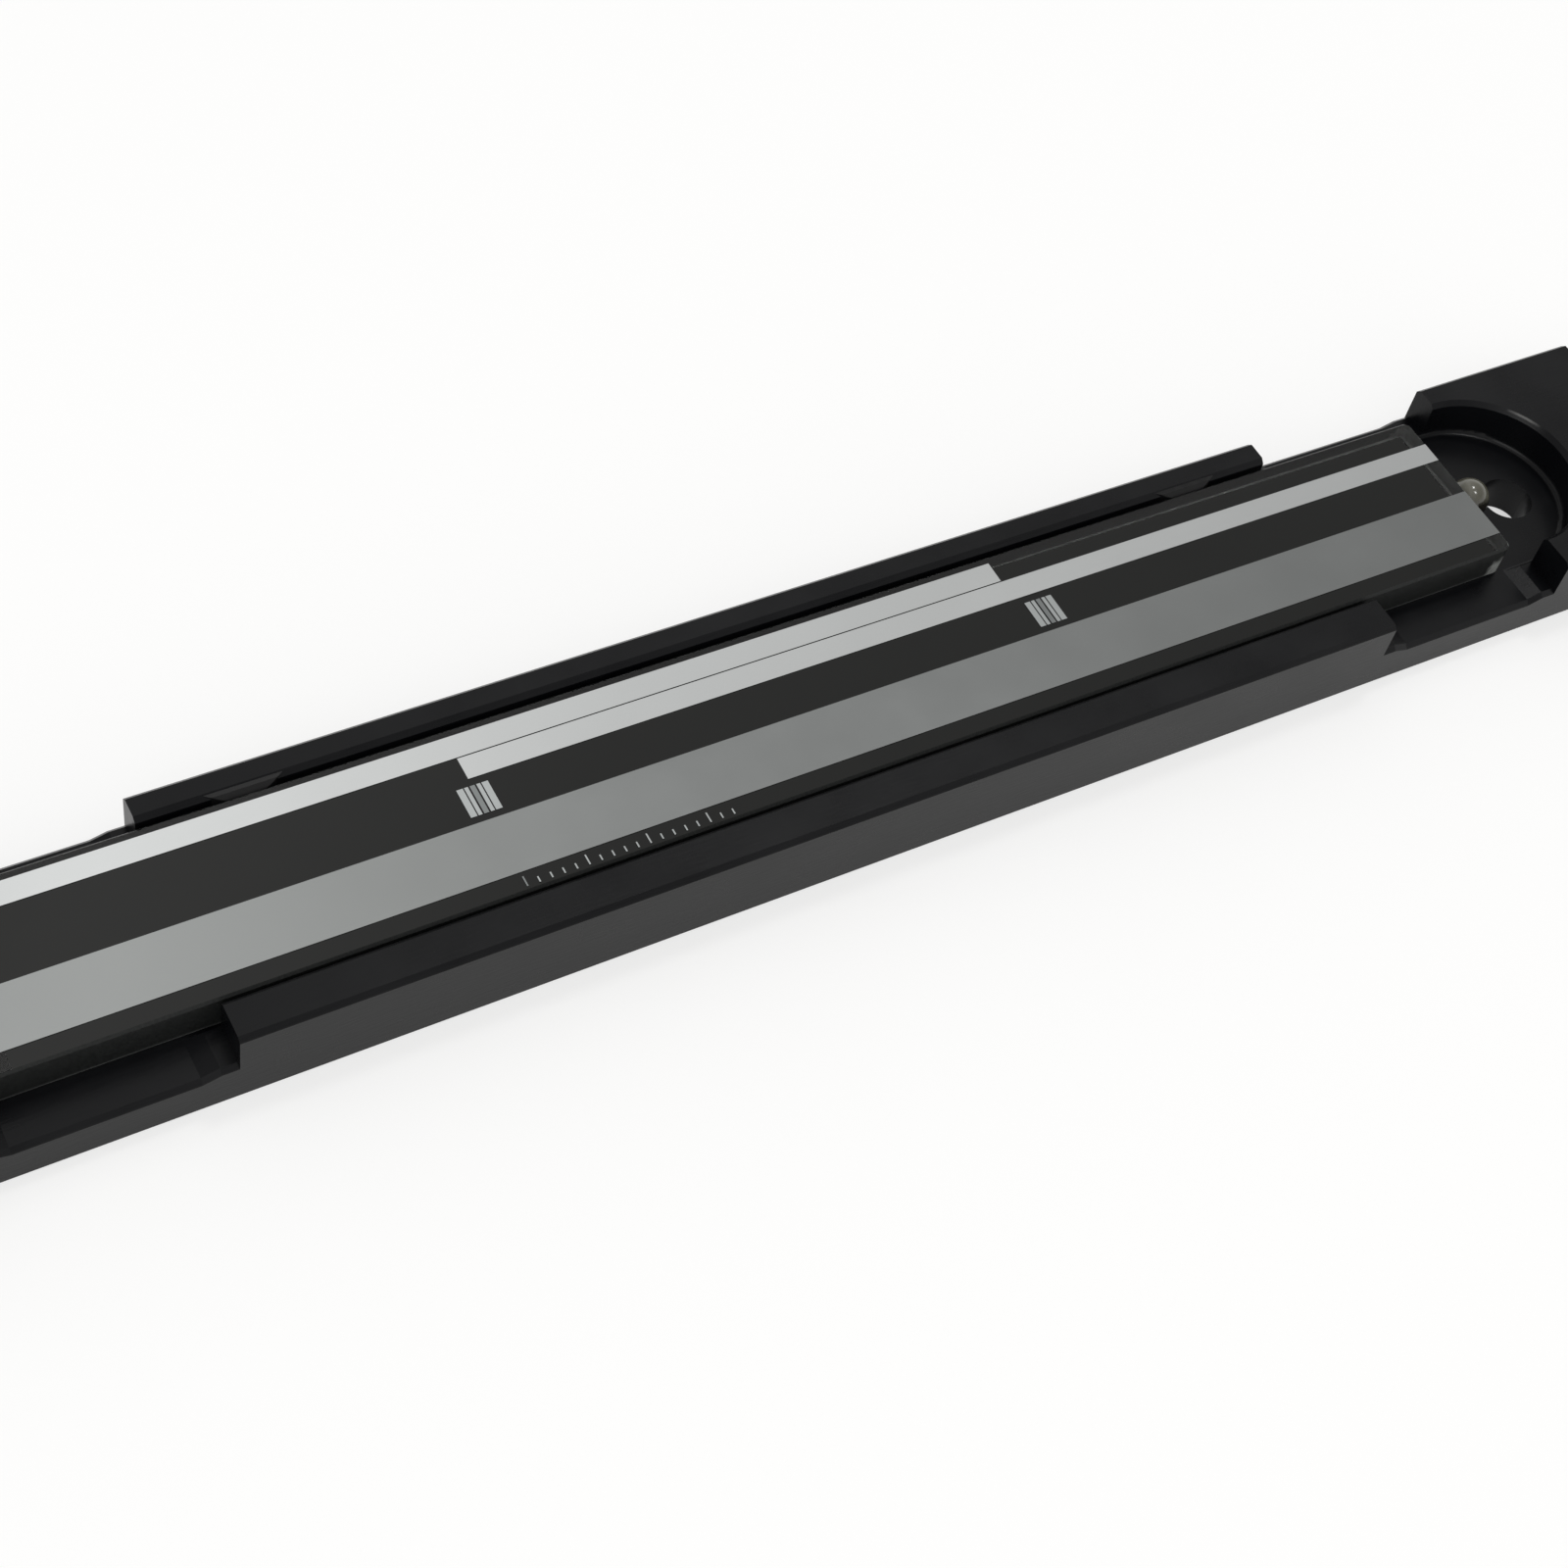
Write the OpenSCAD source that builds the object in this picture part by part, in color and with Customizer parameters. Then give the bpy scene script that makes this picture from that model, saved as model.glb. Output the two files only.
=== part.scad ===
// Scale unit of an exposed linear encoder: a glass scale bonded into a black anodised
// carrier bar. The carrier has a full-length groove with round ends, two side walls that
// guard the glass, full-width cut-outs between the walls and the end blocks, and one
// mounting hole in the pocket at each end. Chrome tracks lie on top of the glass.
// Frame: X along the scale, Y across it towards the thin wall, Z up. The origin is the
// middle of the carrier's bottom face.

/* [Carrier] */
// Length of the carrier bar
carrier_length = 172; // [160:1:220]
// Height of the carrier bar
carrier_height = 7.2; // [6.6:0.1:9]
// Height of the two walls above the top of the glass
rim_above_glass = 0.4; // [0.3:0.05:0.8]
// Length of the solid block at each end
end_block_length = 17; // [13:0.5:22]
// Chamfer along the outer edges and round the rim of the groove
edge_chamfer = 0.4; // [0.2:0.05:0.6]

/* [Groove and walls] */
// Width of the groove between the two walls
groove_width = 16.3; // [14:0.1:17]
// Thickness of the front wall, next to the grating track
front_wall = 3.5; // [2:0.1:5]
// Thickness of the back wall, next to the index tracks
back_wall = 2.4; // [1.6:0.1:4]
// Length of the two walls between the cut-outs
wall_length = 100.5; // [80:0.5:110]
// Corner radius that the cutter leaves at the groove's floor
floor_fillet = 0.5; // [0.2:0.05:0.55]

/* [Cut-outs] */
// Height of the raised land at each end of a cut-out
land_height = 0.4; // [0.1:0.05:0.6]
// Length of the level part of the land
land_length = 1.3; // [0.5:0.1:3]
// Length of the ramp from the land down to the floor
land_ramp = 1.4; // [0.5:0.1:3]

/* [Mounting holes] */
// Diameter of the screw holes
hole_d = 4.6; // [3:0.1:5.5]
// Distance of each hole beyond its end block's inner face
hole_beyond_face = 3; // [2:0.1:4]
// Distance of the holes in front of the carrier's middle line
hole_offset = 0.45; // [0:0.05:1]

/* [Glass] */
// Thickness of the glass
glass_thickness = 3.3; // [2.5:0.1:3.5]
// Gap between the glass and each wall
glass_side_gap = 0.375; // [0.35:0.025:0.8]
// Gap between each end of the glass and its end block's inner face
glass_end_gap = 2.8; // [2.6:0.1:6]
// How far the glass sits towards the left end
glass_shift = 0.3; // [0:0.1:0.6]
// Ground arris along the edges of the glass
glass_arris = 0.2; // [0.15:0.05:0.4]
// Cut across the upright corners of the glass
glass_corner = 0.4; // [0.2:0.05:0.8]

/* [Tracks] */
// Thickness that stands for the chrome film
film = 0.05; // [0.02:0.01:0.1]
// Distance from the front edge of the glass to the grating track
grating_edge = 1.7; // [1.3:0.1:2]
// Width of the grating track
grating_width = 5.1; // [4:0.1:5.4]
// Distance from the front edge of the glass to the inner index track
index_edge = 10.7; // [10.4:0.1:10.9]
// Width of each index track
index_width = 2; // [1.5:0.05:2.1]
// Dark line between the two index tracks
index_gap = 0.1; // [0.05:0.01:0.2]
// Distance between the two reference marks, which the carrier's ends lie around
mark_spacing = 50; // [20:1:60]
// Distance of the left reference mark from the carrier's middle
mark_left = 26.7; // [15:0.1:30]
// Distance from the front edge of the glass to the reference marks
mark_edge = 7.4; // [7.2:0.1:7.6]
// Length of a reference mark's bars, across the scale
mark_height = 2.65; // [2:0.05:2.7]
// Distance by which the outer index track stops before the right reference mark
outer_index_stop = 1.85; // [1.4:0.05:5]

/* [Tick row] */
// Number of ticks in the plain row in front of the grating track
tick_count = 18; // [5:1:24]
// Distance between ticks
tick_pitch = 1; // [0.6:0.1:1.2]
// Width of a tick
tick_width = 0.12; // [0.08:0.01:0.2]
// Length of the short ticks
tick_short = 0.5; // [0.3:0.05:0.6]
// Length of the long ticks
tick_long = 0.9; // [0.7:0.05:1]
// Distance from the front edge of the glass to the ticks
tick_edge = 0.4; // [0.3:0.05:0.5]

/* [Adhesive] */
// Distance of the side dabs from the carrier's middle
side_dab_position = 42; // [20:1:45]
// Radius of a side dab's rounded front, seen from above
side_dab_radius = 5.75; // [4:0.25:8]
// Length over which a side dab touches the glass
side_dab_contact = 3; // [2:0.1:4]
// Height above the floor at which a side dab ends in the gap
side_dab_bottom = 1.2; // [0.8:0.1:1.8]
// Radius of the bead at each end of the glass
end_bead_radius = 1.8; // [1.75:0.05:1.9]
// Distance from the end of the glass to that bead's centre
end_bead_reach = 1.4; // [1:0.1:1.6]
// How far the bead's top lies below the top of the glass
end_bead_below_top = 0.1; // [0.05:0.05:0.4]

/* [Hidden] */
$fn = 96;
over = 1;
half_length = carrier_length / 2;
carrier_width = front_wall + groove_width + back_wall;
half_width = carrier_width / 2;
// The metal under the glass is what the glass and the rim above it leave.
floor_thickness = carrier_height - rim_above_glass - glass_thickness;
block_face = half_length - end_block_length;
wall_end = wall_length / 2;
groove_y = -half_width + front_wall + groove_width / 2;
groove_depth = carrier_height - floor_thickness;
glass_length = 2 * (block_face - glass_end_gap);
glass_width = groove_width - 2 * glass_side_gap;
glass_front = groove_y - glass_width / 2;
glass_back = groove_y + glass_width / 2;
glass_left = -glass_shift - glass_length / 2;
glass_right = -glass_shift + glass_length / 2;
glass_top = floor_thickness + glass_thickness;
hole_x = block_face + hole_beyond_face;
// The two reference marks and the ends of the index tracks share these places.
left_mark_x = -mark_left;
right_mark_x = left_mark_x + mark_spacing;
outer_index_end = right_mark_x - outer_index_stop;
// Bars of a reference mark, as their width and the dark gap that follows them.
mark_bars = [[0.52, 0.1], [0.31, 0.14], [0.4, 0.14], [0.31, 0.1], [0.52, 0]];
mark_width = bar_start(len(mark_bars));
ticks_per_long = 5;

// Outline of a cut-out's floor, as [x, z]: a raised land at either end, with a ramp.
land_top = floor_thickness + land_height;
ledge_line = [
    [wall_end, land_top],
    [wall_end + land_length, land_top],
    [wall_end + land_length + land_ramp, floor_thickness],
    [block_face - land_length - land_ramp, floor_thickness],
    [block_face - land_length, land_top],
    [block_face, land_top]
];

// Corners of the triangle that the chamfer takes off the ledge's edge at a point [x, z],
// reaching a little past the metal.
function chamfer_corners(at, reach) = [
    [at[0], half_width - edge_chamfer - reach, at[1] + reach],
    [at[0], half_width + reach, at[1] - edge_chamfer - reach],
    [at[0], half_width + reach, at[1] + reach]
];

function bar_start(i) = i == 0 ? 0 : bar_start(i - 1) + mark_bars[i - 1][0] + mark_bars[i - 1][1];

// Bar stock with its two long top edges chamfered.
module bar_blank() {
    top_half = half_width - edge_chamfer;
    shoulder = carrier_height - edge_chamfer;
    rotate([90, 0, 90])
        linear_extrude(carrier_length, center = true)
            polygon([
                [-half_width, 0],
                [half_width, 0],
                [half_width, shoulder],
                [top_half, carrier_height],
                [-top_half, carrier_height],
                [-half_width, shoulder]
            ]);
}

// Half of the groove's cross-section: distance from its middle line, height above its floor.
module groove_half_section() {
    side = groove_width / 2;
    translate([0, floor_fillet])
        square([side, groove_depth - floor_fillet + over]);
    square([side - floor_fillet, 2 * floor_fillet]);
    translate([side - floor_fillet, floor_fillet])
        circle(floor_fillet);
    polygon([
        [0, groove_depth - edge_chamfer],
        [side, groove_depth - edge_chamfer],
        [side + edge_chamfer, groove_depth],
        [side + edge_chamfer, groove_depth + over],
        [0, groove_depth + over]
    ]);
}

// The groove runs the full length between two round ends centred on the block faces.
module groove() {
    translate([0, groove_y, floor_thickness]) {
        rotate([90, 0, 90])
            linear_extrude(2 * block_face, center = true) {
                groove_half_section();
                mirror([1, 0])
                    groove_half_section();
            }
        for (side = [-1, 1])
            translate([side * block_face, 0, 0])
                rotate_extrude()
                    groove_half_section();
    }
}

// Full-width cut-out at the right, between the walls and the end block. Its outer edges are
// chamfered like the bar's, on both sides.
module cutout() {
    rotate([90, 0, 0])
        linear_extrude(carrier_width + 2 * over, center = true)
            polygon(concat(
                [[wall_end, carrier_height + over]],
                ledge_line,
                [[block_face, carrier_height + over]]
            ));
    for (side = [0, 1])
        mirror([0, side, 0])
            for (i = [0:len(ledge_line) - 2])
                ledge_chamfer(ledge_line[i], ledge_line[i + 1]);
}

// The prism that takes the outer edge off one straight stretch of the ledge.
module ledge_chamfer(from, to) {
    reach = edge_chamfer / 2;
    polyhedron(
        points = concat(chamfer_corners(from, reach), chamfer_corners(to, reach)),
        faces = [[0, 1, 2], [5, 4, 3], [1, 0, 3, 4], [2, 1, 4, 5], [0, 2, 5, 3]]
    );
}

module mounting_hole() {
    translate([hole_x, -hole_offset, -over])
        cylinder(d = hole_d, h = floor_thickness + 2 * over);
}

module carrier() {
    color("#2b2d2f")
        difference() {
            bar_blank();
            groove();
            for (side = [0, 1])
                mirror([side, 0, 0]) {
                    cutout();
                    mounting_hole();
                }
        }
}

// A rectangle with its corners cut off; it stands on the X axis.
module ground_rectangle(length, height, cut) {
    half = length / 2;
    polygon([
        [-half + cut, 0],
        [half - cut, 0],
        [half, cut],
        [half, height - cut],
        [half - cut, height],
        [-half + cut, height],
        [-half, height - cut],
        [-half, cut]
    ]);
}

module glass_scale() {
    color([0.30, 0.36, 0.34, 0.55])
        translate([-glass_shift, groove_y, floor_thickness])
            intersection() {
                rotate([90, 0, 90])
                    linear_extrude(glass_length, center = true)
                        ground_rectangle(glass_width, glass_thickness, glass_arris);
                rotate([90, 0, 0])
                    linear_extrude(glass_width, center = true)
                        ground_rectangle(glass_length, glass_thickness, glass_arris);
                translate([0, -glass_width / 2, 0])
                    linear_extrude(glass_thickness)
                        ground_rectangle(glass_length, glass_width, glass_corner);
            }
}

// A rectangle of chrome film on top of the glass; y is measured from the glass's front edge.
module film_patch(from_x, to_x, y, width) {
    translate([from_x, glass_front + y, glass_top])
        cube([to_x - from_x, width, film]);
}

module grating_track() {
    color("#8f9294")
        film_patch(glass_left + glass_arris, glass_right - glass_arris, grating_edge, grating_width);
}

module inner_index_track() {
    color("#d4d6d6")
        film_patch(left_mark_x, glass_right - glass_arris, index_edge, index_width);
}

module outer_index_track() {
    color("#d4d6d6")
        film_patch(
            glass_left + glass_arris, outer_index_end, index_edge + index_width + index_gap, index_width
        );
}

module reference_mark(middle_x) {
    for (i = [0:len(mark_bars) - 1]) {
        bar_x = middle_x - mark_width / 2 + bar_start(i);
        film_patch(bar_x, bar_x + mark_bars[i][0], mark_edge, mark_height);
    }
}

module left_reference_mark() {
    color("#c4c8c8")
        reference_mark(left_mark_x);
}

module right_reference_mark() {
    color("#c4c8c8")
        reference_mark(right_mark_x);
}

// Plain graduation that starts level with the left reference mark.
module tick_row() {
    color("#d0d2d2")
        for (i = [0:tick_count - 1]) {
            tick_x = left_mark_x + i * tick_pitch;
            tick_length = i % ticks_per_long == 0 ? tick_long : tick_short;
            film_patch(tick_x - tick_width / 2, tick_x + tick_width / 2, tick_edge, tick_length);
        }
}

// Dab in the gap behind the glass: it fills the gap and part of the wall's chamfer, and its
// front edge is rounded in plan.
module side_adhesive(middle_x) {
    wall_y = groove_y + groove_width / 2;
    lip = edge_chamfer / 4;
    swell = edge_chamfer / 2;
    contact_half = side_dab_contact / 2;
    color("#3a3c3d")
        intersection() {
            translate([middle_x, 0, 0])
                rotate([90, 0, 90])
                    linear_extrude(2 * side_dab_radius, center = true)
                        polygon([
                            [glass_back, floor_thickness + side_dab_bottom],
                            [wall_y, floor_thickness + side_dab_bottom],
                            [wall_y, carrier_height - edge_chamfer],
                            [wall_y + edge_chamfer - lip, carrier_height - lip],
                            [wall_y, carrier_height - swell],
                            [glass_back, glass_top - glass_arris]
                        ]);
            translate([middle_x, glass_back + sqrt(pow(side_dab_radius, 2) - pow(contact_half, 2)), 0])
                cylinder(r = side_dab_radius, h = carrier_height);
        }
}

module left_side_adhesive() {
    side_adhesive(-side_dab_position);
}

module right_side_adhesive() {
    side_adhesive(side_dab_position);
}

// Bead in the corner between the floor and the right end of the glass, which both cut it
// off flat.
module end_bead() {
    lift = glass_thickness - end_bead_below_top - end_bead_radius;
    color("#c9c2ad")
        intersection() {
            translate([end_bead_reach, 0, lift])
                sphere(end_bead_radius);
            translate([0, -end_bead_radius, 0])
                cube([
                    end_bead_reach + end_bead_radius,
                    2 * end_bead_radius,
                    lift + end_bead_radius
                ]);
        }
}

module left_end_adhesive() {
    translate([glass_left, 0, floor_thickness])
        mirror([1, 0, 0])
            end_bead();
}

module right_end_adhesive() {
    translate([glass_right, 0, floor_thickness])
        end_bead();
}

carrier();
glass_scale();
grating_track();
inner_index_track();
outer_index_track();
left_reference_mark();
right_reference_mark();
tick_row();
left_side_adhesive();
right_side_adhesive();
left_end_adhesive();
right_end_adhesive();
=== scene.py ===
import bmesh
import bpy
from mathutils import Matrix, Vector


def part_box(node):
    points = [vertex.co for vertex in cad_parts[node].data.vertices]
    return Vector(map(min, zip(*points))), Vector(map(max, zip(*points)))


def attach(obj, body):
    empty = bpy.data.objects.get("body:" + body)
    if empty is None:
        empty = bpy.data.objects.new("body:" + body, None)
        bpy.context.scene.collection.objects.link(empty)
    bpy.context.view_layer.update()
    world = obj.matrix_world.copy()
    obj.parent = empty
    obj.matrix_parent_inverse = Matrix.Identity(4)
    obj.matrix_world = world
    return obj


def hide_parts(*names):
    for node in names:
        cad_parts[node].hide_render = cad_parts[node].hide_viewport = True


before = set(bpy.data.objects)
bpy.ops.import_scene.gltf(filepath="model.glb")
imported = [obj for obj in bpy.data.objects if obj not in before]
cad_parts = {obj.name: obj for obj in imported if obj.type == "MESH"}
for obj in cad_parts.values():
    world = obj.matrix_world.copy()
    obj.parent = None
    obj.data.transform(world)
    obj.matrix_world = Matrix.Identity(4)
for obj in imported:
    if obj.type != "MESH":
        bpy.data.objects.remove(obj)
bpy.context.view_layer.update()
MM = 0.001

# %% [markdown]
# The object is the scale unit of a linear encoder: a glass ruler in a black carrier bar.
# The carrier and the flat chrome films already have the right shape, so their solids are
# kept and only get finishes. The glass and the beads of adhesive are made again here,
# because their look comes from ground edges and a smooth drop that plain solids don't have.

# %% Read the places of the solids
places = {name: [Vector(corner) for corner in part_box(name)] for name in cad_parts}
for name, (low, high) in places.items():
    print(name, [round(v / MM, 2) for v in low], [round(v / MM, 2) for v in high])

# %% [markdown]
# Every finish below is a Principled shader with some nodes in front of it. The same few
# nodes come back each time, so small helpers make them, and each finish only has to say
# what is special about it. A number that is the same all over a surface goes straight onto
# the shader's own socket.

# %% Helper: a new finish
def new_finish(name, **numbers):
    material = bpy.data.materials.new(name)
    material.use_nodes = True
    shader = material.node_tree.nodes["Principled BSDF"]
    for socket, value in numbers.items():
        shader.inputs[socket.replace("_", " ")].default_value = value
    print("finish", name, numbers)
    return material, material.node_tree, shader


# %% Helper: colour and roughness that come from nodes
def look_from(tree, shader, colour, roughness):
    tree.links.new(colour, shader.inputs["Base Color"])
    tree.links.new(roughness, shader.inputs["Roughness"])


# %% [markdown]
# A pattern has to know where on the piece it is. Object coordinates belong to the piece and
# are metres here, so a noise scale of 1000 gives lumps of about 1 mm. Where a pattern has a
# direction, a Mapping node stretches it.

# %% Helper: object coordinates
def place_pattern(tree, stretch=(1, 1, 1)):
    coordinates = tree.nodes.new("ShaderNodeTexCoord")
    mapping = tree.nodes.new("ShaderNodeMapping")
    mapping.inputs["Scale"].default_value = stretch
    tree.links.new(coordinates.outputs["Object"], mapping.inputs["Vector"])
    return mapping.outputs["Vector"]


# %% Helper: X, Y and Z of a vector
def split_axes(tree, vector):
    node = tree.nodes.new("ShaderNodeSeparateXYZ")
    tree.links.new(vector, node.inputs["Vector"])
    return node.outputs


# %% [markdown]
# No real surface is one even tone. Noise is a number that wanders from place to place, most
# of the time between 0.3 and 0.7. Spread over another range it makes a roughness wander, and
# through a colour ramp it makes a colour wander.

# %% Helper: noise
NOISE_LOW, NOISE_HIGH = 0.3, 0.7
NOISE_ROUGHNESS = 0.55


def noise(tree, vector, scale, detail=3.0):
    node = tree.nodes.new("ShaderNodeTexNoise")
    node.inputs["Scale"].default_value = scale
    node.inputs["Detail"].default_value = detail
    node.inputs["Roughness"].default_value = NOISE_ROUGHNESS
    tree.links.new(vector, node.inputs["Vector"])
    return node.outputs["Fac"]


# %% Helper: a number stretched from one range to another
def spread(tree, value, from_low, from_high, to_low, to_high):
    node = tree.nodes.new("ShaderNodeMapRange")
    sockets = ("From Min", "From Max", "To Min", "To Max")
    for socket, number in zip(sockets, (from_low, from_high, to_low, to_high)):
        node.inputs[socket].default_value = number
    tree.links.new(value, node.inputs["Value"])
    return node.outputs["Result"]


# %% Helper: colours from a number
def ramp_colour(tree, value, stops):
    node = tree.nodes.new("ShaderNodeValToRGB")
    ramp = node.color_ramp
    while len(ramp.elements) < len(stops):
        ramp.elements.new(0.5)
    for element, (position, colour) in zip(ramp.elements, stops):
        element.position = position
        element.color = (*colour, 1)
    tree.links.new(value, node.inputs["Fac"])
    return node.outputs["Color"]


# %% Helpers: a number and a colour that wander with the noise
def vary(tree, wander, low_number, high_number):
    return spread(tree, wander, NOISE_LOW, NOISE_HIGH, low_number, high_number)


def tint(tree, wander, low_colour, high_colour):
    return ramp_colour(tree, wander, [(NOISE_LOW, low_colour), (NOISE_HIGH, high_colour)])


# %% [markdown]
# Some finishes change at one place: an outer side, a lighter spot, a chipped corner. Math nodes
# work out how far a point is from that place, and a Mix node lays one colour over another
# there. This stays sharp at any size, and there is no image to paint or to load.

# %% Helper: arithmetic
def work_out(tree, operation, first, second=0):
    node = tree.nodes.new("ShaderNodeMath")
    node.operation = operation
    for socket, value in zip(node.inputs, (first, second)):
        if isinstance(value, bpy.types.NodeSocket):
            tree.links.new(value, socket)
        else:
            socket.default_value = value
    return node.outputs["Value"]


# %% Helper: one colour over another
def mix_colour(tree, amount, under, over):
    node = tree.nodes.new("ShaderNodeMix")
    node.data_type = "RGBA"
    tree.links.new(amount, node.inputs["Factor"])
    for socket, value in ((node.inputs["A"], under), (node.inputs["B"], over)):
        if isinstance(value, bpy.types.NodeSocket):
            tree.links.new(value, socket)
        else:
            socket.default_value = (*value, 1)
    return node.outputs["Result"]


# %% Helper: distance from a point
def distance_from(tree, vector, point):
    node = tree.nodes.new("ShaderNodeVectorMath")
    node.operation = "DISTANCE"
    node.inputs[1].default_value = point
    tree.links.new(vector, node.inputs[0])
    return node.outputs["Value"]


# %% Helper: a soft patch with a ragged edge, round a point of the object
RAGGED_SCALE = 1400


def patch_round(tree, point, radius, edge, ragged):
    where = place_pattern(tree)
    waver = vary(tree, noise(tree, where, RAGGED_SCALE), -ragged, ragged)
    reach = work_out(tree, "ADD", distance_from(tree, where, point), waver)
    return spread(tree, reach, radius - edge, radius + edge, 1, 0)


# %% [markdown]
# Relief of a few hundredths of a millimetre, such as the marks of a cutter, is too fine to
# model. A Bump node only tilts the shading, and that is all the eye notices of it.

# %% Helper: relief
def bump(tree, shader, height, distance, strength):
    node = tree.nodes.new("ShaderNodeBump")
    node.inputs["Distance"].default_value = distance
    node.inputs["Strength"].default_value = strength
    tree.links.new(height, node.inputs["Height"])
    tree.links.new(node.outputs["Normal"], shader.inputs["Normal"])


# %% Helper: give a kept solid its finish
def dress(name, material):
    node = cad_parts[name]
    node.data.materials.clear()
    node.data.materials.append(material)
    print(name, "wears", material.name)


# %% [markdown]
# The rim of the right pocket is chamfered, and one spot of its chamfer is a lighter grey. A
# Geometry node's Pointiness could find edges, but it would lighten them all. The rim is a
# ring, so its middle and its radius find it, and a patch round one point picks the lighter
# spot.

# %% Helper: distance from the rim of the right pocket
RIM_MIDDLE = (0.069, 0.00055, 0)
RIM_RADIUS = 8.46 * MM


def from_pocket_rim(tree):
    flat = tree.nodes.new("ShaderNodeVectorMath")
    flat.operation = "MULTIPLY"
    flat.inputs[1].default_value = (1, 1, 0)
    tree.links.new(place_pattern(tree), flat.inputs[0])
    from_middle = distance_from(tree, flat.outputs["Vector"], RIM_MIDDLE)
    return work_out(tree, "ABSOLUTE", work_out(tree, "SUBTRACT", from_middle, RIM_RADIUS))


# %% Helper: the lighter spot of the rim
LIGHTER_RIM_SPOT = (0.0764, 0.0047, 0.0071)
ON_CHAMFER, OFF_CHAMFER = 0.03 * MM, 0.11 * MM
CHAMFER_FOOT = 6.85 * MM


def lighter_rim_mask(tree, height):
    spot = patch_round(tree, LIGHTER_RIM_SPOT, radius=1.2 * MM, edge=0.7 * MM, ragged=0.3 * MM)
    on_rim = spread(tree, from_pocket_rim(tree), ON_CHAMFER, OFF_CHAMFER, 1, 0)
    above_wall = work_out(tree, "GREATER_THAN", height, CHAMFER_FOOT)
    return work_out(tree, "MULTIPLY", work_out(tree, "MULTIPLY", spot, on_rim), above_wall)


# %% [markdown]
# Black anodised aluminium is a dark oxide skin over milled metal. Its colour hardly varies,
# and what the eye sees is mostly a soft reflection. It keeps the fine lay of the cutter,
# which runs along the bar, and it dulls into slightly uneven patches. So the colour and the
# roughness vary a little with noise, and a very low bump that is stretched along X carries
# the lay. The two outer sides are a little greyer, as the drawn bar left them.

# %% Finish: black anodised aluminium
MILLED = (0.0024, 0.0026, 0.0034), (0.0040, 0.0043, 0.0052)
DRAWN = (0.0055, 0.0057, 0.0060), (0.0085, 0.0087, 0.0090)
LIGHTER_RIM_GREY = (0.11, 0.11, 0.107)
SATIN = 0.24, 0.33
INNER_SKIN, OUTER_SKIN = 0.1 * MM, 0.02 * MM
ALONG_THE_BAR = (0.12, 1, 1)


def make_anodised():
    material, tree, shader = new_finish("black_anodised_bar", IOR=1.45, Specular_IOR_Level=0.27)
    everywhere = place_pattern(tree)
    patches = noise(tree, everywhere, scale=160, detail=4)
    axes = split_axes(tree, everywhere)
    half_width = places["carrier"][1].y
    from_middle = work_out(tree, "ABSOLUTE", axes["Y"])
    outside = spread(tree, from_middle, half_width - INNER_SKIN, half_width - OUTER_SKIN, 0, 1)
    skin = mix_colour(tree, outside, tint(tree, patches, *MILLED), tint(tree, patches, *DRAWN))
    # One spot on the chamfer of the right pocket's rim turns a lighter grey.
    colour = mix_colour(tree, lighter_rim_mask(tree, axes["Z"]), skin, LIGHTER_RIM_GREY)
    look_from(tree, shader, colour, vary(tree, patches, *SATIN))
    lay = noise(tree, place_pattern(tree, ALONG_THE_BAR), scale=5200, detail=2)
    bump(tree, shader, lay, distance=0.02 * MM, strength=0.35)
    return material


dress("carrier", make_anodised())

# %% [markdown]
# The films on the glass are chrome, evaporated through a mask. The two index tracks are
# solid and mirror the room, with the faintest clouds in their tone and gloss. They are made
# first, and the other films use the same recipe with other numbers.

# %% Finish: chrome films
DARKEST_CLOUD = 0.97
GLOSSIEST_CLOUD, DULLEST_CLOUD = 0.85, 1.15


def make_chrome(name, colour, roughness, cloud_scale):
    material, tree, shader = new_finish(name, Metallic=1.0)
    cloud = noise(tree, place_pattern(tree), cloud_scale)
    tone = tint(tree, cloud, tuple(c * DARKEST_CLOUD for c in colour), colour)
    gloss = vary(tree, cloud, roughness * GLOSSIEST_CLOUD, roughness * DULLEST_CLOUD)
    look_from(tree, shader, tone, gloss)
    return material, tree, shader, tone


index_chrome = make_chrome(
    "index_chrome_film", (0.80, 0.82, 0.82), roughness=0.10, cloud_scale=90)[0]
for name in ("inner_index_track", "outer_index_track"):
    dress(name, index_chrome)

# %% [markdown]
# The wide measuring track is a grating of lines finer than the eye can see, so it looks like
# a darker satin film. Lines that fine would only flicker in a render, so a darker and duller
# chrome stands for them. Towards its left end a lighter chrome fades in along X: a painted
# reflection of a brighter part of the room.

# %% Finish: grating track
REFLECTION_FULL_AT, REFLECTION_GONE_AT = -58 * MM, -12 * MM
PAINTED_REFLECTION_CHROME = (0.415, 0.43, 0.425)
grating_chrome, tree, shader, tone = make_chrome(
    "grating_chrome_film", (0.340, 0.353, 0.350), roughness=0.18, cloud_scale=120)
axes = split_axes(tree, place_pattern(tree))
# Towards the left end a lighter chrome fades in along X: a painted reflection.
painted_reflection = spread(tree, axes["X"], REFLECTION_FULL_AT, REFLECTION_GONE_AT, 1, 0)
tree.links.new(mix_colour(tree, painted_reflection, tone, PAINTED_REFLECTION_CHROME), shader.inputs["Base Color"])
dress("grating_track", grating_chrome)

# %% [markdown]
# A reference mark is a small group of bars. Its middle bar is a finer grating than its
# neighbours, and it looks darker. The bars share one finish, which finds the middle bar by
# its distance from the mark's middle. The row of ticks is the same chrome.

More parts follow.
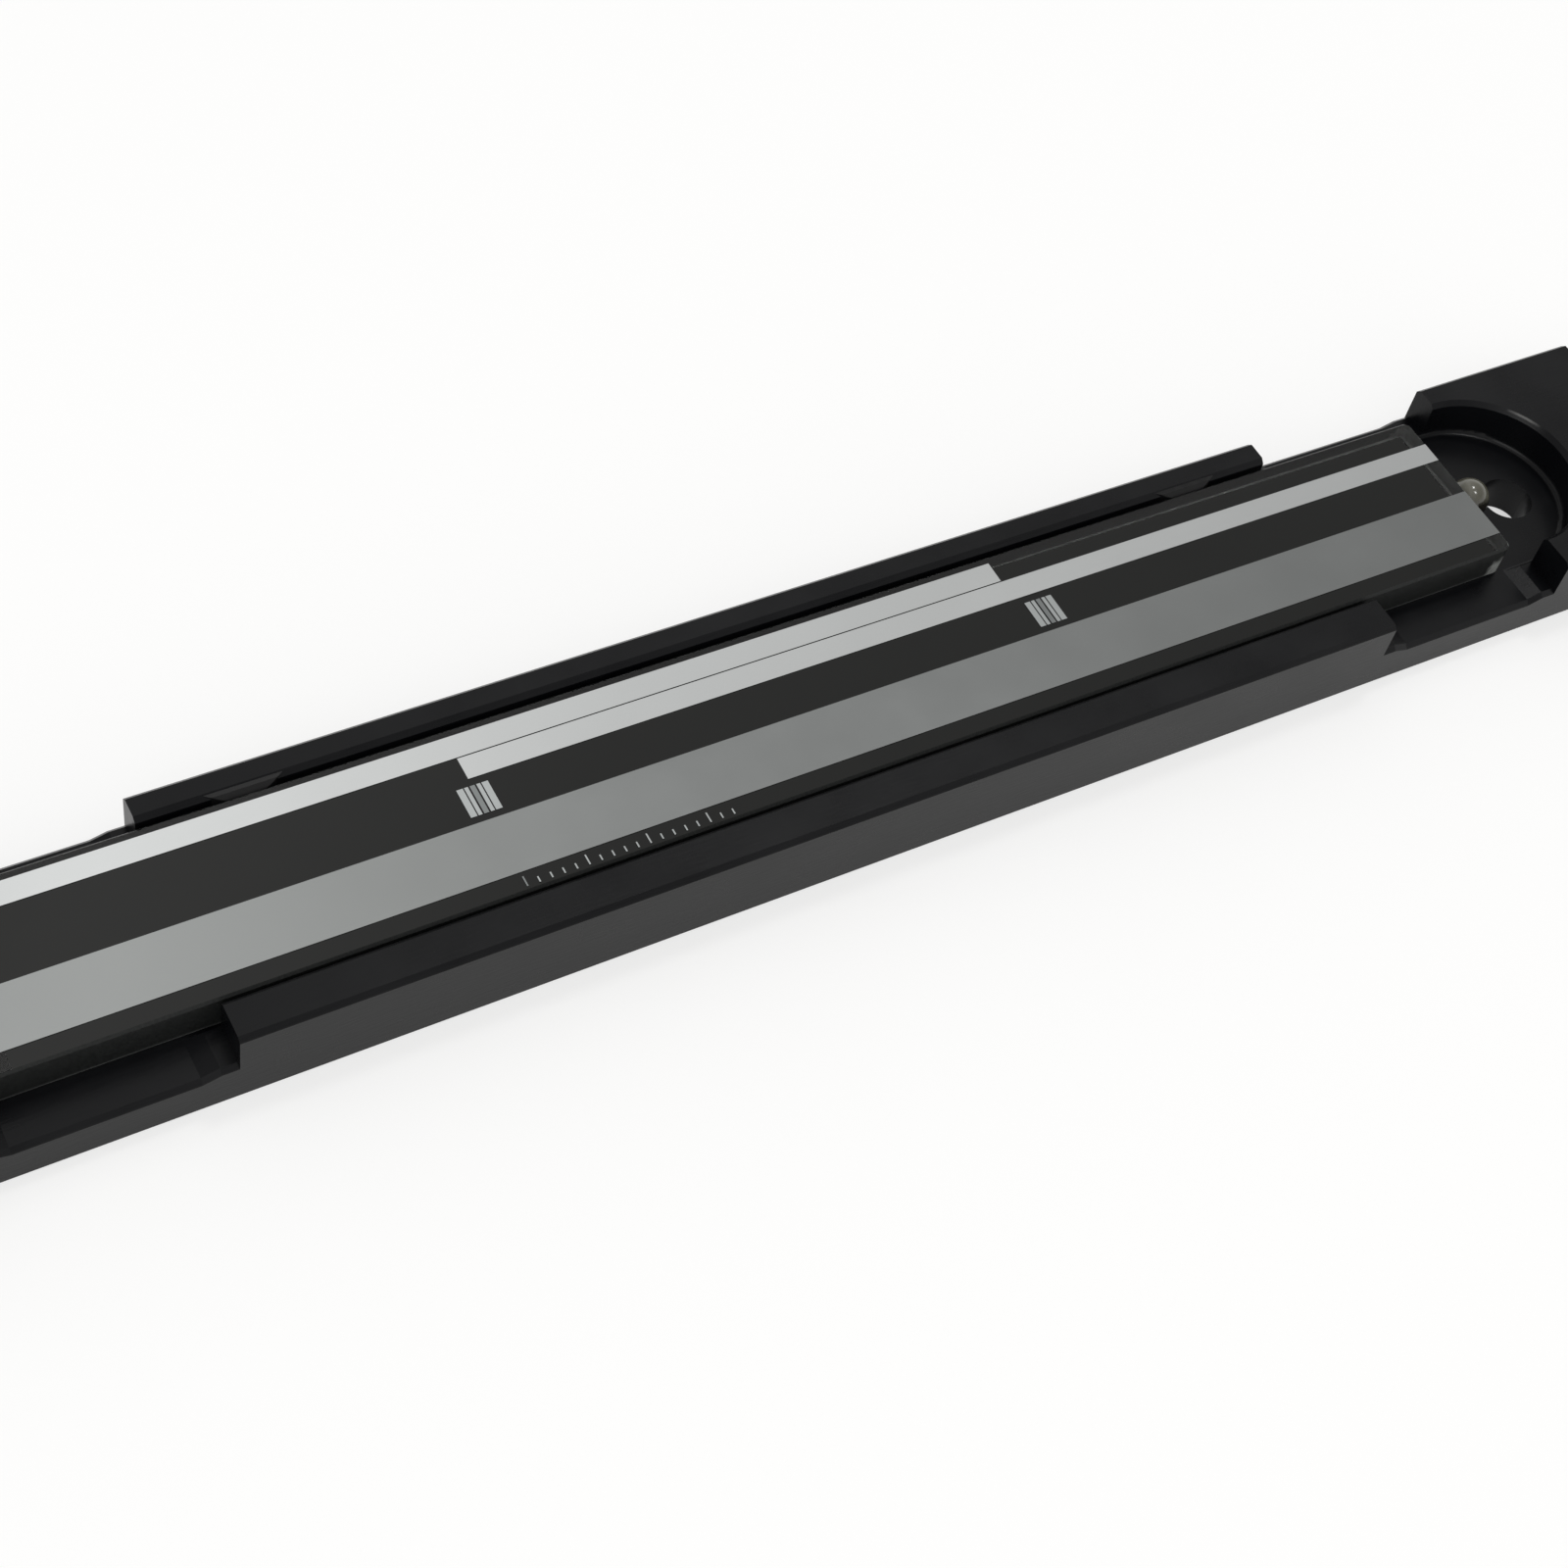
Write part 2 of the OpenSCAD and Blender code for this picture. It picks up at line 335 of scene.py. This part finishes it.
# %% Finish: reference marks and tick row
MARKS = ("left_reference_mark", "right_reference_mark")
HALF_MIDDLE_BAR = 0.25 * MM
FINE_GRATING = (0.33, 0.35, 0.35)
middles = [sum(corner.x for corner in places[name]) / 2 for name in MARKS]
mark_chrome, tree, shader, tone = make_chrome(
    "mark_chrome_film", (0.62, 0.65, 0.65), roughness=0.12, cloud_scale=300)
axes = split_axes(tree, place_pattern(tree))
reaches = [work_out(tree, "ABSOLUTE", work_out(tree, "SUBTRACT", axes["X"], middle))
           for middle in middles]
nearest = work_out(tree, "MINIMUM", *reaches)
in_middle_bar = work_out(tree, "LESS_THAN", nearest, HALF_MIDDLE_BAR)
tree.links.new(mix_colour(tree, in_middle_bar, tone, FINE_GRATING), shader.inputs["Base Color"])
for name in (*MARKS, "tick_row"):
    dress(name, mark_chrome)
print("middles of the marks in mm:", [round(middle / MM, 2) for middle in middles])

# %% [markdown]
# The glass is a plate whose top is polished and whose sides are ground, cemented down with
# something black. Close to its ends and its back edge one looks through the top at the
# ground edges, so there it gets a glass that light passes through. Elsewhere one sees only
# black cement through it, and a clear gloss over black looks the same with far less noise.

# %% Finishes: polished glass, clear and over black
CLEAR = (0.92, 0.945, 0.93), (0.94, 0.965, 0.95)
NEARLY_BLACK = (0.0008, 0.0012, 0.0006), (0.0014, 0.0019, 0.0010)
MIRROR_SMOOTH = 0.004, 0.012


def make_polished(name, tones, **numbers):
    material, tree, shader = new_finish(name, IOR=1.48, **numbers)
    cloud = noise(tree, place_pattern(tree), scale=250)
    look_from(tree, shader, tint(tree, cloud, *tones), vary(tree, cloud, *MIRROR_SMOOTH))
    return material


polished_glass = make_polished("polished_glass", CLEAR, Transmission_Weight=1.0)
deep_glass = make_polished("polished_glass_over_black", NEARLY_BLACK)

# %% [markdown]
# The cement shows only as the dark floor under the clear borders of the plate. A matt
# near-black with a few wide clouds is enough for that.

# %% Finish: black cement
MATT = 0.5, 0.7
black_cement, tree, shader = new_finish("black_cement", Specular_IOR_Level=0.1)
cloud = noise(tree, place_pattern(tree), scale=60, detail=4)
look_from(tree, shader, tint(tree, cloud, *NEARLY_BLACK), vary(tree, cloud, *MATT))

# %% [markdown]
# Ground glass scatters light and shows the dark inside of the plate, which a matt finish in
# a deep grey says. The ends and the lower edges are lighter than the long sides, and a thin
# painted highlight lightens the line along the foot. Both right corners are
# chipped and scatter more light. So three finishes share one recipe, each with its own
# depth of grey, and all of them have the painted foot highlight and the corner patches.

# %% Helper: the chipped right corners of the glass
CHIPS = [((0.0657, -0.0071, 0.0040), 1.5 * MM), ((0.0657, 0.0081, 0.0042), 1.2 * MM)]
CHIPPED_GLASS = (0.26, 0.27, 0.26)


def chipped_corners(tree):
    patches = [patch_round(tree, corner, radius, edge=0.5 * MM, ragged=0.5 * MM)
               for corner, radius in CHIPS]
    return work_out(tree, "MAXIMUM", *patches)


# %% Finishes: ground glass
FOOT_HIGHLIGHT_FULL, FOOT_HIGHLIGHT_GONE = 3.75 * MM, 3.95 * MM
FOOT_HIGHLIGHT_GAIN, FOOT_HIGHLIGHT_LIFT = 2.4, 0.03
FROSTED = 0.38, 0.5


def make_ground(name, dark, light):
    material, tree, shader = new_finish(name, IOR=1.5, Specular_IOR_Level=0.3)
    where = place_pattern(tree)
    grain = noise(tree, where, scale=4200)
    # A thin line along the foot is painted lighter: a painted highlight.
    foot_highlight = spread(tree, split_axes(tree, where)["Z"], FOOT_HIGHLIGHT_FULL, FOOT_HIGHLIGHT_GONE, 1, 0)
    foot_highlight_colour = tuple(FOOT_HIGHLIGHT_GAIN * c + FOOT_HIGHLIGHT_LIFT for c in light)
    tone = mix_colour(tree, foot_highlight, tint(tree, grain, dark, light), foot_highlight_colour)
    colour = mix_colour(tree, chipped_corners(tree), tone, CHIPPED_GLASS)
    look_from(tree, shader, colour, vary(tree, grain, *FROSTED))
    bump(tree, shader, grain, distance=0.01 * MM, strength=0.3)
    return material


ground_side = make_ground("ground_glass_side", (0.008, 0.0088, 0.0084), (0.014, 0.0152, 0.0146))
ground_end = make_ground("ground_glass_end", (0.13, 0.14, 0.133), (0.17, 0.18, 0.173))
ground_edge = make_ground("ground_glass_edge", (0.12, 0.125, 0.12), (0.18, 0.185, 0.18))

# %% [markdown]
# A new shape is worked on as a bmesh, which has no name, place or finish of its own. Once it
# is done, it is written into a mesh, and an object shows that mesh in the scene.

# %% Helper: a mesh becomes a piece of the object
def piece_from(shape, name, *materials):
    mesh = bpy.data.meshes.new(name)
    shape.to_mesh(mesh)
    shape.free()
    piece = bpy.data.objects.new(name, mesh)
    bpy.context.scene.collection.objects.link(piece)
    for material in materials:
        mesh.materials.append(material)
    print(name, len(mesh.polygons), "faces")
    return piece


# %% [markdown]
# The plate starts as a cube, stretched between the corners of the glass solid. Its bottom is
# a little higher and its top a little lower than the solid's, so that its faces don't fight
# with the carrier's floor and with the films in the render.

# %% Shape: glass plate
ABOVE_FLOOR, BELOW_FILMS = 0.02 * MM, 0.01 * MM
low, high = places["glass_scale"]
bottom, top = low.z + ABOVE_FLOOR, high.z - BELOW_FILMS
size = (high.x - low.x, high.y - low.y, top - bottom)
middle = ((low.x + high.x) / 2, (low.y + high.y) / 2, (bottom + top) / 2)
plate = bmesh.new()
bmesh.ops.create_cube(plate, size=1)
bmesh.ops.scale(plate, vec=size, verts=plate.verts)
bmesh.ops.translate(plate, vec=middle, verts=plate.verts)
print("glass plate in mm:", [round(v / MM, 3) for v in size])

# %% [markdown]
# A grinder takes the sharp edges off the plate, first along its upright corners, and then
# all round the top and the bottom. A bevel of one segment is such a flat cut. The front
# right corner is worn rounder, so its bevel is wider and has four segments.

# %% Shape: ground edges of the plate
CORNER_CUT, WORN_CUT, RIM_CUT = 0.4 * MM, 0.8 * MM, 0.2 * MM
LEVEL = 0.1 * MM


def rise(edge):
    return abs(edge.verts[0].co.z - edge.verts[1].co.z)


def grind(shape, edges, width, segments=1):
    bmesh.ops.bevel(shape, geom=edges, offset=width, offset_type="OFFSET",
                    affect="EDGES", segments=segments, profile=0.5, material=-1)


upright = [edge for edge in plate.edges if rise(edge) > MM]
worn_corner = [edge for edge in upright if edge.verts[0].co.x > 0 and edge.verts[0].co.y < 0]
grind(plate, worn_corner, WORN_CUT, segments=4)
grind(plate, [edge for edge in upright if edge.is_valid], CORNER_CUT)
grind(plate, [edge for edge in plate.edges if rise(edge) < LEVEL], RIM_CUT)
bmesh.ops.recalc_face_normals(plate, faces=plate.faces)
print("faces of the ground plate:", len(plate.faces))

# %% [markdown]
# Three planes cut the top into a middle and its borders. They leave the shape as it is and
# only give the two finishes of the top their own faces.

# %% Shape: borders of the glass's top
CLEAR_ENDS, CLEAR_BACK = 1.9 * MM, 1.3 * MM
FACING_UP = 0.99
SAME_POINT = 1e-7
left_border, right_border = low.x + CLEAR_ENDS, high.x - CLEAR_ENDS
back_border = high.y - CLEAR_BACK
for point, across_cut in (((left_border, 0, 0), (1, 0, 0)),
                          ((right_border, 0, 0), (1, 0, 0)),
                          ((0, back_border, 0), (0, 1, 0))):
    lid = [face for face in plate.faces if face.normal.z > FACING_UP]
    lid_edges = list({edge for face in lid for edge in face.edges})
    lid_corners = list({corner for face in lid for corner in face.verts})
    bmesh.ops.bisect_plane(plate, geom=lid_corners + lid_edges + lid, dist=SAME_POINT,
                           plane_co=point, plane_no=across_cut)
print("faces in the glass's top:", sum(face.normal.z > FACING_UP for face in plate.faces))

# %% [markdown]
# Which way a face looks decides its finish: up is polished, down is cemented, and the rest
# is ground. So the normals sort the faces, and no list of face numbers is needed, which
# would change with every cut.

# %% Finishes of the glass plate, face by face
POLISHED, DEEP, CEMENTED, GROUND, GROUND_END, GROUND_EDGE = range(6)
SLANTING_DOWN, TOWARDS_AN_END = -0.1, 0.5
for face in plate.faces:
    upward = face.normal.z
    if upward > FACING_UP:
        centre = face.calc_center_bounds()
        at_end = centre.x < left_border or centre.x > right_border
        face.material_index = POLISHED if at_end or centre.y > back_border else DEEP
    elif upward < -FACING_UP:
        face.material_index = CEMENTED
    elif upward < SLANTING_DOWN:
        face.material_index = GROUND_EDGE
    else:
        at_end = abs(face.normal.x) > TOWARDS_AN_END
        face.material_index = GROUND_END if at_end else GROUND
glass = piece_from(plate, "glass_plate", polished_glass, deep_glass, black_cement,
                   ground_side, ground_end, ground_edge)
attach(glass, "root")
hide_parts("glass_scale")

# %% [markdown]
# Two dabs of black adhesive bridge the gap behind the glass. Their solids already have the
# right form, so they only get a matt, slightly lumpy finish.

# %% Finish: black adhesive
DAB_TONES = (0.0045, 0.0046, 0.0048), (0.0075, 0.0076, 0.0078)
DAB_ROUGHNESS = 0.34, 0.44


def make_black_adhesive():
    material, tree, shader = new_finish("black_adhesive_dab", IOR=1.45, Specular_IOR_Level=0.34)
    lumps = noise(tree, place_pattern(tree), scale=900, detail=4)
    look_from(tree, shader, tint(tree, lumps, *DAB_TONES), vary(tree, lumps, *DAB_ROUGHNESS))
    bump(tree, shader, lumps, distance=0.03 * MM, strength=0.3)
    return material


black_adhesive = make_black_adhesive()
for name in ("left_side_adhesive", "right_side_adhesive"):
    dress(name, black_adhesive)

# %% [markdown]
# A bead of cream adhesive holds each end of the glass. Its top and back keep the cream, and
# its front and foot are painted dark, a painted shade. A ramp across the bead, along Y and
# Z, goes from the one to the other.

# %% Helper: where the bead is painted shaded
BEAD_LEVEL = 4.9 * MM
TO_THE_BACK, TO_THE_TOP = 0.78, 0.62
SHADED_UP_TO, CREAM_FROM = -0.90 * MM, -0.20 * MM
RAGGED_BY = 0.3 * MM


def bead_shade_ramp(tree, axes, cloud):
    height = work_out(tree, "SUBTRACT", axes["Z"], BEAD_LEVEL)
    slope = work_out(tree, "ADD", work_out(tree, "MULTIPLY", axes["Y"], TO_THE_BACK),
                     work_out(tree, "MULTIPLY", height, TO_THE_TOP))
    ragged = work_out(tree, "ADD", slope, vary(tree, cloud, -RAGGED_BY, RAGGED_BY))
    return spread(tree, ragged, SHADED_UP_TO, CREAM_FROM, 0, 1)


# %% Finish: cream adhesive
CREAM = (0.088, 0.085, 0.066), (0.120, 0.117, 0.092)
PAINTED_BEAD_SHADE = (0.020, 0.018, 0.015)
WET_LOOKING = 0.10, 0.22


def make_cream_adhesive():
    material, tree, shader = new_finish(
        "cream_adhesive_bead", IOR=1.5, Coat_Weight=0.5, Coat_Roughness=0.05)
    where = place_pattern(tree)
    cloud = noise(tree, where, scale=700, detail=4)
    cream_over_shade = bead_shade_ramp(tree, split_axes(tree, where), cloud)
    # The front and foot of the bead get a painted shade; the top and back keep the cream.
    colour = mix_colour(tree, cream_over_shade, PAINTED_BEAD_SHADE, tint(tree, cloud, *CREAM))
    look_from(tree, shader, colour, vary(tree, cloud, *WET_LOOKING))
    bump(tree, shader, cloud, distance=0.05 * MM, strength=0.35)
    return material


cream_adhesive = make_cream_adhesive()

# %% [markdown]
# A bead is a ball that the floor and the end of the glass cut off flat. So it starts as a
# sphere round the solid's own middle, two planes cut it, and each cut is closed. The ball is
# shaded smooth, and its flat cuts are not.

# %% Helper: cut a closed shape with a plane and close the cut
def cut_flat(shape, point, outward):
    everything = shape.verts[:] + shape.edges[:] + shape.faces[:]
    cut = bmesh.ops.bisect_plane(shape, geom=everything, dist=SAME_POINT,
                                 plane_co=point, plane_no=outward, clear_outer=True)
    rim = [edge for edge in cut["geom_cut"] if isinstance(edge, bmesh.types.BMEdge)]
    bmesh.ops.contextual_create(shape, geom=rim)


# %% Shape: beads of cream adhesive
INSIDE_SOLID = 0.998
CLEARANCE = 0.01 * MM
MOST_CORNERS_ON_BALL = 4


def make_bead(name, node_name, glass_end, outward):
    low, high = places[node_name]
    radius = (high.y - low.y) / 2
    middle_x = high.x - radius if outward > 0 else low.x + radius
    middle = (middle_x, (low.y + high.y) / 2, high.z - radius)
    shape = bmesh.new()
    bmesh.ops.create_uvsphere(shape, u_segments=64, v_segments=40,
                              radius=radius * INSIDE_SOLID)
    bmesh.ops.translate(shape, vec=middle, verts=shape.verts)
    cut_flat(shape, (0, 0, low.z + CLEARANCE), (0, 0, -1))
    cut_flat(shape, (glass_end + outward * CLEARANCE, 0, 0), (-outward, 0, 0))
    bmesh.ops.recalc_face_normals(shape, faces=shape.faces)
    for face in shape.faces:
        face.smooth = len(face.verts) <= MOST_CORNERS_ON_BALL
    bead = piece_from(shape, name, cream_adhesive)
    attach(bead, "root")
    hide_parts(node_name)


make_bead("right_end_bead", "right_end_adhesive", places["glass_scale"][1].x, 1)
make_bead("left_end_bead", "left_end_adhesive", places["glass_scale"][0].x, -1)

# %% [markdown]
# The photo was taken from above the front left, with the bar running up to the right. The
# camera's place and its three axes were worked out from the bar's own parallel edges, so
# they are given as numbers.

# %% Camera
CAMERA_PLACE = (-0.0853753, -0.1012691, 0.1682471)
image_right = Vector((0.86826, -0.471741, 0.153573))
image_up = Vector((0.301287, 0.747328, 0.592222))
backwards = Vector((-0.394145, -0.467934, 0.791005))
camera_data = bpy.data.cameras.new("photo_camera")
camera_data.sensor_width = 36
camera_data.lens = 62.3
camera_data.clip_start = 0.01
camera_data.clip_end = 100
camera = bpy.data.objects.new("photo_camera", camera_data)
bpy.context.scene.collection.objects.link(camera)
turn = Matrix((image_right, image_up, backwards)).transposed().to_4x4()
camera.matrix_world = Matrix.Translation(CAMERA_PLACE) @ turn
bpy.context.scene.camera = camera
print("camera at", [round(v, 4) for v in camera.location])

# %% [markdown]
# The bar lies on a plain white table. The table has a pale diffuse colour and keeps the
# bar's soft shadow. A glow, seen only by the camera, in reflections and through the glass,
# lifts it to the white of the photo without putting more light on the object.

# %% Shape: table
table_shape = bmesh.new()
bmesh.ops.create_grid(table_shape, x_segments=1, y_segments=1, size=20)
table_material = bpy.data.materials.new("pale_table")
table = piece_from(table_shape, "table", table_material)
table.location.z = -0.1 * MM

# %% Finish: table
PAPER = (0.50, 0.50, 0.495, 1)
GLOW_SEEN, GLOW_MIRRORED = 0.56, 0.46
table_material.use_nodes = True
tree = table_material.node_tree
tree.nodes.clear()
paper = tree.nodes.new("ShaderNodeBsdfDiffuse")
paper.inputs["Color"].default_value = PAPER
glow = tree.nodes.new("ShaderNodeEmission")
path = tree.nodes.new("ShaderNodeLightPath").outputs
seen = work_out(tree, "MAXIMUM", path["Is Camera Ray"], path["Is Transmission Ray"])
seen = work_out(tree, "MULTIPLY", seen, GLOW_SEEN)
mirrored = work_out(tree, "MULTIPLY", path["Is Glossy Ray"], GLOW_MIRRORED)
tree.links.new(work_out(tree, "MAXIMUM", mirrored, seen), glow.inputs["Strength"])
both = tree.nodes.new("ShaderNodeAddShader")
tree.links.new(paper.outputs[0], both.inputs[0])
tree.links.new(glow.outputs[0], both.inputs[1])
output = tree.nodes.new("ShaderNodeOutputMaterial")
tree.links.new(both.outputs[0], output.inputs["Surface"])
print("table finish has", len(tree.nodes), "nodes")

# %% [markdown]
# The room is a soft sky, and the chrome and the glass mirror it. Seen from the camera, the
# left end of the bar mirrors the middle of the sky, and its right end mirrors a part further
# right. The tracks are brightest at their left end, so the sky is brightest in the middle
# and falls off to both sides. A ramp across the picture's own left and right does that.

# %% Room light: how bright the sky is from left to right
SKY_LEVELS = [(0.05, 0.35), (0.30, 0.42), (0.42, 0.52), (0.475, 0.80), (0.497, 0.885),
              (0.528, 0.81), (0.584, 0.645), (0.633, 0.57), (0.68, 0.505), (0.714, 0.455),
              (0.82, 0.30)]
world = bpy.data.worlds.new("soft_room")
bpy.context.scene.world = world
world.use_nodes = True
tree = world.node_tree
direction = tree.nodes.new("ShaderNodeTexCoord").outputs["Generated"]
to_the_right = tree.nodes.new("ShaderNodeVectorMath")
to_the_right.operation = "DOT_PRODUCT"
to_the_right.inputs[1].default_value = image_right
tree.links.new(direction, to_the_right.inputs[0])
across = spread(tree, to_the_right.outputs["Value"], -1, 1, 0, 1)
overhead = ramp_colour(tree, across, [(at, (level,) * 3) for at, level in SKY_LEVELS])
print("brightest part of the sky:", max(level for at, level in SKY_LEVELS))

# %% [markdown]
# Close to the horizon the sky is an even white, as the walls of the room would be. At the
# photo's angle the films don't mirror it, and views from the side get a plain background.

# %% Room light: horizon
HORIZON_LEVEL = 0.95
HORIZON_END, OVERHEAD_START = 0.28, 0.55
sky = tree.nodes["Background"]
sky.inputs["Color"].default_value = (1.0, 0.995, 0.985, 1)
high_up = spread(tree, split_axes(tree, direction)["Z"], HORIZON_END, OVERHEAD_START, 0, 1)
above = work_out(tree, "MULTIPLY", high_up, overhead)
low_down = work_out(tree, "SUBTRACT", 1, high_up)
near_horizon = work_out(tree, "MULTIPLY", low_down, HORIZON_LEVEL)
tree.links.new(work_out(tree, "ADD", above, near_horizon), sky.inputs["Strength"])
print("sky at the horizon:", HORIZON_LEVEL)

# %% [markdown]
# Two lamps on the ceiling give the bead its two highlights and draw the thin bright line in
# the groove's corner. They hang outside the directions that the chrome mirrors to the
# camera. A large soft lamp on the left brings the light to a plain level.

# %% Ceiling lamps
def ceiling_lamp(name, direction, size, power):
    data = bpy.data.lights.new(name, "AREA")
    data.shape = "DISK"
    data.size = size
    data.energy = power
    lamp = bpy.data.objects.new(name, data)
    bpy.context.scene.collection.objects.link(lamp)
    lamp.location = Vector(direction).normalized()
    lamp.rotation_euler = (-lamp.location).to_track_quat("-Z", "Y").to_euler()
    print(name, "at", [round(v, 2) for v in lamp.location])


ceiling_lamp("back_lamp", (0.34, 0.20, 0.91), size=0.16, power=1.0)
ceiling_lamp("front_lamp", (0.24, -0.27, 0.93), size=0.16, power=1.0)
ceiling_lamp("soft_lamp", (-0.70, -0.35, 0.62), size=0.70, power=1.8)
bpy.context.scene.view_settings.view_transform = "Standard"
